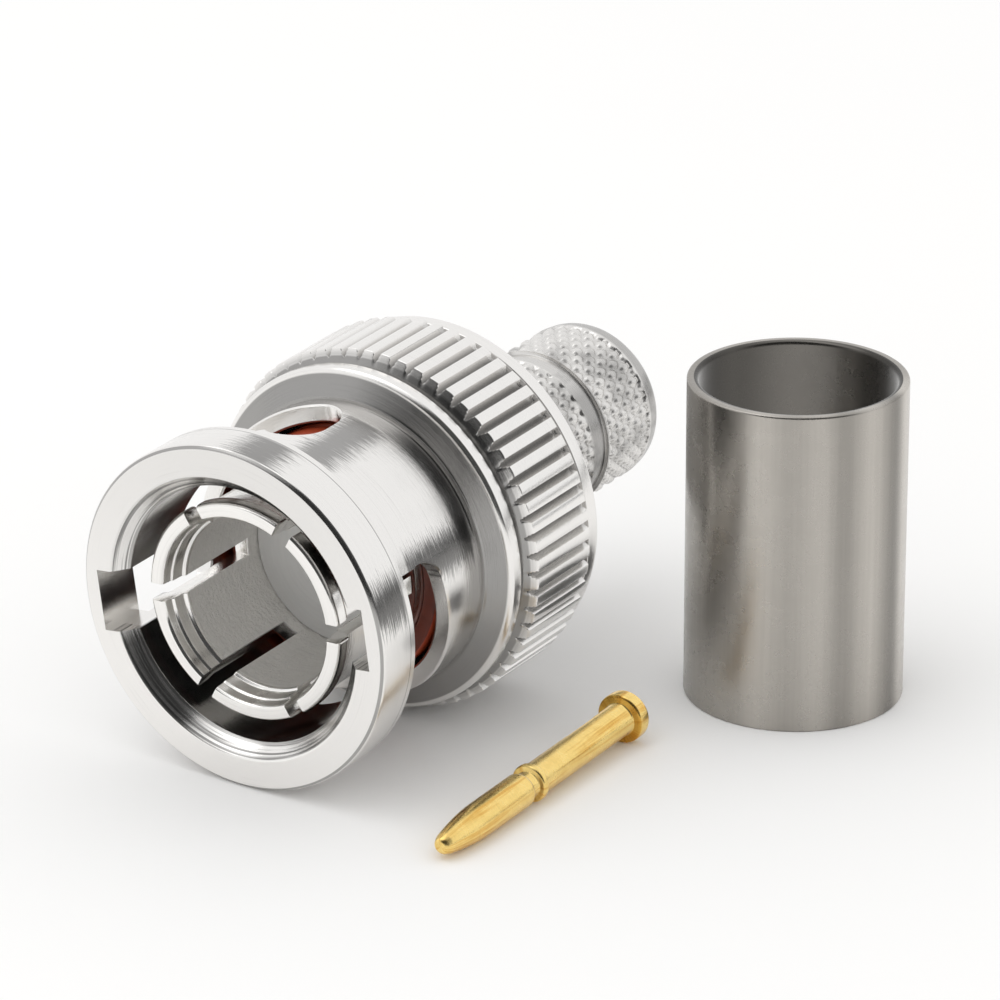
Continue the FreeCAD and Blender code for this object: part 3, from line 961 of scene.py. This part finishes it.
# Degrees round the ferrule, and how bright its broad bands of painted reflection are there
PAINTED_REFLECTION_BANDS = (
    (-180, 0.85), (-120, 0.95), (-80, 0.70), (-45, 0.72), (0, 0.90), (11, 1.12), (29, 0.88),
    (44, 1.04), (57, 0.73), (74, 1.12), (93, 0.56), (106, 1.25), (140, 0.80), (180, 0.85),
)

# The same for the wall inside: painted reflection and shade round it
INNER_PAINTED_LIGHT = (
    (-180, 0.26), (-148, 0.38), (-110, 0.20), (-85, 0.12), (140, 0.10), (165, 0.14), (180, 0.26),
)


def ferrule_nickel(tone):
    """Satin nickel on a drawn tube: broad bands of painted reflection and fine streaks along its
    length, and painted reflection and shade inside.
    """
    m = Shader("drawn_tube_nickel", metallic=1.0)
    s, radius, angle = m.turned_coordinates()
    turns = m.plus(m.math("DIVIDE", angle, 2 * math.pi), 0.5)
    broad, inner = (
        m.shades(tone, turns, *[((degrees + 180) / 360, value) for degrees, value in streaks],
                 interpolation="EASE")
        for streaks in (PAINTED_REFLECTION_BANDS, INNER_PAINTED_LIGHT)
    )
    lines = m.join(m.times(s, 0.06), radius, m.times(angle, 11.0))
    fine = m.noise(lines, 2.4, 5.0, 0.6)
    outside = m.tint(broad, m.ramp(fine, (0.3, 0.93), (0.7, 1.0)))
    m.set("Base Color", m.mix(m.math("LESS_THAN", radius, 3.82), outside, inner))
    m.set("Roughness", m.ramp(m.noise(m.place(), 1.2, 4.0, 0.6), (0.3, 0.24), (0.7, 0.32)))
    m.bump(fine, 0.10, 0.00002)
    return m.material


def gold_plate(tone):
    """Gold plate over a turned pin, with faint rings, browner streaks of painted reflection along
    it and painted shade on the flange's front face.
    """
    m = Shader("gold_plate", metallic=1.0)
    s, radius, angle = m.turned_coordinates()
    marks = m.turning_marks(s, radius, angle, 12.0)
    cloud = m.noise(m.place(), 2.2, 3.0, 0.6)
    plate = m.shades(tone, marks, (0.25, 0.88), (0.5, 1.0))
    plate = m.tint(plate, m.ramp(cloud, (0.35, (0.93, 0.90, 0.84)), (0.6, 1.0)))
    # Browner streaks along the pin, painted in place of darker reflections
    reflection_streaks = m.noise(m.seamless(m.times(s, 0.10), angle, 1.5), 2.0, 4.0, 0.6)
    plate = m.tint(plate, m.ramp(reflection_streaks, (0.38, (0.82, 0.66, 0.45)), (0.50, 1.0)))
    # Painted shade on the flange's front face, darker and more orange
    flange_painted_shade = m.times(m.band(s, 11.90, 11.97, 0.02), m.math("GREATER_THAN", radius, 0.66))
    plate = m.tint(plate, m.ramp(flange_painted_shade, (0.0, 1.0), (1.0, (0.78, 0.62, 0.34))))
    m.set("Base Color", plate)
    m.set("Roughness", m.ramp(cloud, (0.3, 0.20), (0.7, 0.30)))
    m.bump(marks, 0.12, 0.00002)
    return m.material


def gasket_silicone(tone):
    m = Shader("red_silicone")
    shade = m.noise(m.place(), 1.5, 4.0, 0.6)
    red = m.shades(tone, shade, (0.3, 0.78), (0.7, 1.25))
    # Painted shade on the gasket's front face, which faces into the nut
    front = m.math("LESS_THAN", m.split(m.place())[0], 6.15)
    m.set("Base Color", m.tint(red, m.ramp(front, (0.0, 1.0), (1.0, 0.35))))
    m.set("Roughness", m.ramp(shade, (0.3, 0.34), (0.7, 0.46)))
    m.bump(m.noise(m.place(), 9.0, 3.0, 0.6), 0.2, 0.00002)
    return m.material


def bush_plastic(tone):
    m = Shader("pale_fluoroplastic")
    s, radius, angle = m.turned_coordinates()
    marks = m.turning_marks(s, radius, angle, 5.0)
    m.set("Base Color", m.shades(tone, marks, (0.3, 0.93), (0.7, 1.0)))
    m.set("Roughness", m.ramp(marks, (0.3, 0.46), (0.7, 0.56)))
    m.bump(marks, 0.12, 0.00001)
    return m.material


def spring_steel(tone):
    """Plain spring steel, in object coordinates, because the frame's own parts carry it."""
    m = Shader("spring_steel", metallic=1.0)
    grain = m.noise(m.node("ShaderNodeTexCoord").outputs["Object"], 900.0, 4.0, 0.6)
    m.set("Base Color", m.shades(tone, grain, (0.3, 0.78), (0.7, 1.15)))
    m.set("Roughness", m.ramp(grain, (0.3, 0.26), (0.7, 0.38)))
    m.bump(grain, 0.10, 0.00001)
    return m.material


def floor_material(tone):
    m = Shader("pale_floor")
    grain = m.noise(m.node("ShaderNodeTexCoord").outputs["Object"], 40.0, 3.0, 0.5)
    m.set("Base Color", m.shades(tone, grain, (0.3, 0.995), (0.7, 1.0)))
    m.set("Roughness", 0.9)
    m.set("Specular IOR Level", 0.0)
    return m.material


class WorldTree(NodeTree):
    """Short calls for the world's nodes."""

    def __init__(self, name):
        world = bpy.data.worlds.new(name)
        bpy.context.scene.world = world
        world.use_nodes = True
        super().__init__(world.node_tree)
        self.tree.nodes.clear()

    def fade(self, value, *stops):
        """A smooth grey ramp from (position, grey) stops."""
        return self.ramp(value, *stops, interpolation="EASE")

    def towards(self, direction, view):
        """The cosine between the looked-at direction and a fixed one."""
        made = self.node("ShaderNodeVectorMath", direction, view, operation="DOT_PRODUCT")
        return made.outputs["Value"]


def build_world(sky):
    """White to the camera; in reflections a pale tent with a dark opening and a dark skirting."""
    w = WorldTree("studio")
    path = w.node("ShaderNodeLightPath")
    view = w.node("ShaderNodeTexCoord").outputs["Generated"]
    opening = w.fade(w.towards(DARK_OPENING, view), (0.42, 1.0), (0.60, 0.38), (0.74, 0.05))
    axes = w.split(view)
    skirting = w.fade(axes["Z"], (0.0, 0.10), (0.03, 0.20), (0.07, 1.0))
    open_side = w.fade(axes["Y"], (0.15, 1.0), (0.45, 0.0))
    tent = w.times(w.times(opening, w.math("MAXIMUM", skirting, open_side)), TENT_WHITE)
    tones = w.node("ShaderNodeCombineColor", tent, tent, tent)
    white = w.node("ShaderNodeBackground", (1.0, 1.0, 1.0, 1.0), 1.0)
    reflected = w.node("ShaderNodeBackground", tones.outputs[0], 1.0)
    soft = w.node("ShaderNodeBackground", (1.0, 0.995, 0.985, 1.0), sky)
    shiny = w.math("MAXIMUM", path.outputs["Is Glossy Ray"], path.outputs["Is Transmission Ray"])
    lit = w.node("ShaderNodeMixShader", shiny, soft.outputs[0], reflected.outputs[0])
    straight = path.outputs["Is Camera Ray"]
    seen = w.node("ShaderNodeMixShader", straight, lit.outputs[0], white.outputs[0])
    w.node("ShaderNodeOutputWorld", seen.outputs[0])


def aim(obj, place, target):
    obj.location = place
    obj.rotation_euler = (target - place).to_track_quat("-Z", "Y").to_euler()
    bpy.context.scene.collection.objects.link(obj)


class CRIMPPLUG_OT_stage(bpy.types.Operator):
    """Set up the camera, the soft light and the pale floor"""

    bl_idname = "crimpplug.stage"
    bl_label = "Stage"

    def execute(self, context):
        stage = context.scene.stage_settings
        context.scene.view_settings.view_transform = "Standard"
        data = bpy.data.cameras.new("camera")
        data.sensor_width = 36.0
        data.lens = stage.lens
        data.clip_start = 0.01
        camera = bpy.data.objects.new("camera", data)
        aim(camera, FACE + CAMERA_FROM_FACE, FACE + TARGET_FROM_FACE)
        context.scene.camera = camera
        light = bpy.data.lights.new("softbox", "AREA")
        light.size = stage.lamp_size
        light.energy = stage.lamp_power
        aim(bpy.data.objects.new("softbox", light), LAMP_PLACE, Vector())
        build_world(stage.sky)
        half = stage.floor_size / 2 / MM
        corners = [(-half, -half, 0), (half, -half, 0), (half, half, 0), (-half, half, 0)]
        floor = mesh_object("floor", corners, [(0, 1, 2, 3)], Matrix.Scale(MM, 4))
        floor.data.materials.append(floor_material(context.scene.finishes.floor))
        return {"FINISHED"}


class CRIMPPLUG_OT_coupling_nut(bpy.types.Operator):
    """Turn, mill and knurl the coupling nut"""

    bl_idname = "crimpplug.coupling_nut"
    bl_label = "Coupling nut"

    def execute(self, context):
        sizes = context.scene.nut_sizes
        outline = nut_outline(sizes)
        relief = knurl_relief(sizes)
        nut = turned_piece("bayonet_nut", outline, knurl_angles(sizes), PLUG, relief)
        cut(nut, bayonet_cutters(sizes))
        clean_mesh(nut.data, 1e-6)
        material = nut_nickel(context.scene.finishes.nut)
        finish_piece(nut, PLUG, 28.0, material, "nut", "coupling_nut")
        return {"FINISHED"}


class CRIMPPLUG_OT_slotted_contact(bpy.types.Operator):
    """Turn the outer contact and saw its spring fingers"""

    bl_idname = "crimpplug.slotted_contact"
    bl_label = "Slotted contact"

    def execute(self, context):
        sizes = context.scene.contact_sizes
        contact = turned_piece("slotted_contact", contact_outline(sizes), 1.5, PLUG)
        first = math.degrees(sizes.slot_angle)
        cut(contact, [slot_cutter(sizes, first + 60 * k) for k in range(3)])
        bevel_edges(contact, 0.022 * MM, 40)
        clean_mesh(contact.data)
        material = contact_nickel(context.scene.finishes.contact)
        finish_piece(contact, PLUG, 30.0, material, "plug", "connector_body")
        return {"FINISHED"}


class CRIMPPLUG_OT_bush_and_gasket(bpy.types.Operator):
    """Fit the pale bush and the red gasket"""

    bl_idname = "crimpplug.bush_and_gasket"
    bl_label = "Bush and gasket"

    def execute(self, context):
        finishes = context.scene.finishes
        bore = context.scene.contact_sizes.bore_radius / MM
        bush = turned_piece("contact_bush", bush_outline(bore), 2.5, PLUG)
        plastic = bush_plastic(finishes.bush)
        finish_piece(bush, PLUG, 35.0, plastic, "plug", "insulator")
        ring = turned_piece("sealing_ring", gasket_outline(), 2.0, PLUG)
        silicone = gasket_silicone(finishes.gasket)
        finish_piece(ring, PLUG, 60.0, silicone, "plug", "gasket")
        return {"FINISHED"}


class CRIMPPLUG_OT_crimp_stem(bpy.types.Operator):
    """Turn the crimp stem and roll its diamond knurl"""

    bl_idname = "crimpplug.crimp_stem"
    bl_label = "Crimp stem"

    def execute(self, context):
        sizes = context.scene.crimp_sizes
        step = 360 / (16 * sizes.diamonds)
        stem = turned_piece("knurled_stem", stem_outline(sizes), step, PLUG, diamond_relief(sizes))
        material = stem_nickel(context.scene.finishes.stem)
        finish_piece(stem, PLUG, 35.0, material, "plug", "crimp_stem")
        return {"FINISHED"}


class CRIMPPLUG_OT_contact_pin(bpy.types.Operator):
    """Turn the gold contact pin and lay it beside the plug"""

    bl_idname = "crimpplug.contact_pin"
    bl_label = "Contact pin"

    def execute(self, context):
        sizes = context.scene.pin_sizes
        matrix = pin_frame(sizes)
        pin = turned_piece("gold_contact_pin", pin_outline(sizes), 3.0, matrix)
        cut(pin, [window_cutter(matrix, sizes.window_turn)])
        clean_mesh(pin.data)
        material = gold_plate(context.scene.finishes.gold)
        finish_piece(pin, matrix, 35.0, material, "plug", "contact_pin")
        pin.visible_glossy = False
        return {"FINISHED"}


class CRIMPPLUG_OT_crimp_ferrule(bpy.types.Operator):
    """Draw the crimp ferrule and stand it on the floor"""

    bl_idname = "crimpplug.crimp_ferrule"
    bl_label = "Crimp ferrule"

    def execute(self, context):
        matrix = ferrule_frame()
        outline = ferrule_outline(context.scene.crimp_sizes)
        tube = turned_piece("plain_ferrule", outline, 1.5, matrix)
        material = ferrule_nickel(context.scene.finishes.ferrule)
        finish_piece(tube, matrix, 35.0, material, "plug", "crimp_ferrule")
        tube.visible_glossy = False
        return {"FINISHED"}


class CRIMPPLUG_OT_washers_and_ring(bpy.types.Operator):
    """Coil the wave spring, and give the flat washer and the retaining ring their steel"""

    bl_idname = "crimpplug.washers_and_ring"
    bl_label = "Washers and ring"

    def execute(self, context):
        steel = spring_steel(context.scene.finishes.spring)
        for name in ("flat_washer", "retaining_ring"):
            node = frame["nodes"][name]
            node.data.materials.clear()
            node.data.materials.append(steel)
        sizes = context.scene.spring_sizes
        spring = wave_spring(sizes)
        finish_piece(spring, PLUG, 40.0, steel, "plug", "wave_washer")
        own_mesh(spring)
        return {"FINISHED"}


OPERATORS = (
    CRIMPPLUG_OT_stage,
    CRIMPPLUG_OT_coupling_nut,
    CRIMPPLUG_OT_slotted_contact,
    CRIMPPLUG_OT_bush_and_gasket,
    CRIMPPLUG_OT_crimp_stem,
    CRIMPPLUG_OT_contact_pin,
    CRIMPPLUG_OT_crimp_ferrule,
    CRIMPPLUG_OT_washers_and_ring,
)

SETTINGS = {
    "nut_sizes": NutSizes,
    "contact_sizes": ContactSizes,
    "crimp_sizes": CrimpSizes,
    "spring_sizes": SpringSizes,
    "pin_sizes": PinSizes,
    "finishes": Finishes,
    "stage_settings": StageSettings,
}


class CRIMPPLUG_PT_pieces(bpy.types.Panel):
    """Lists the pieces of the plug with their sizes and colours"""

    bl_idname = "CRIMPPLUG_PT_pieces"
    bl_label = "Crimp plug"
    bl_space_type = "VIEW_3D"
    bl_region_type = "UI"
    bl_category = "Crimp plug"

    def draw(self, context):
        for operator in OPERATORS:
            self.layout.operator(operator.bl_idname)
        for name, group in SETTINGS.items():
            box = self.layout.box()
            box.label(text=name.replace("_", " ").capitalize())
            for setting in group.__annotations__:
                box.prop(getattr(context.scene, name), setting)


CLASSES = (*SETTINGS.values(), *OPERATORS, CRIMPPLUG_PT_pieces)


def register():
    for cls in CLASSES:
        bpy.utils.register_class(cls)
    for name, group in SETTINGS.items():
        setattr(bpy.types.Scene, name, PointerProperty(type=group))


def unregister():
    for name in SETTINGS:
        delattr(bpy.types.Scene, name)
    for cls in reversed(CLASSES):
        bpy.utils.unregister_class(cls)


def main():
    register()
    bpy.ops.crimpplug.stage()
    bpy.ops.crimpplug.coupling_nut()
    bpy.ops.crimpplug.slotted_contact()
    bpy.ops.crimpplug.bush_and_gasket()
    bpy.ops.crimpplug.crimp_stem()
    bpy.ops.crimpplug.contact_pin()
    bpy.ops.crimpplug.crimp_ferrule()
    bpy.ops.crimpplug.washers_and_ring()


if __name__ == "__main__":
    main()
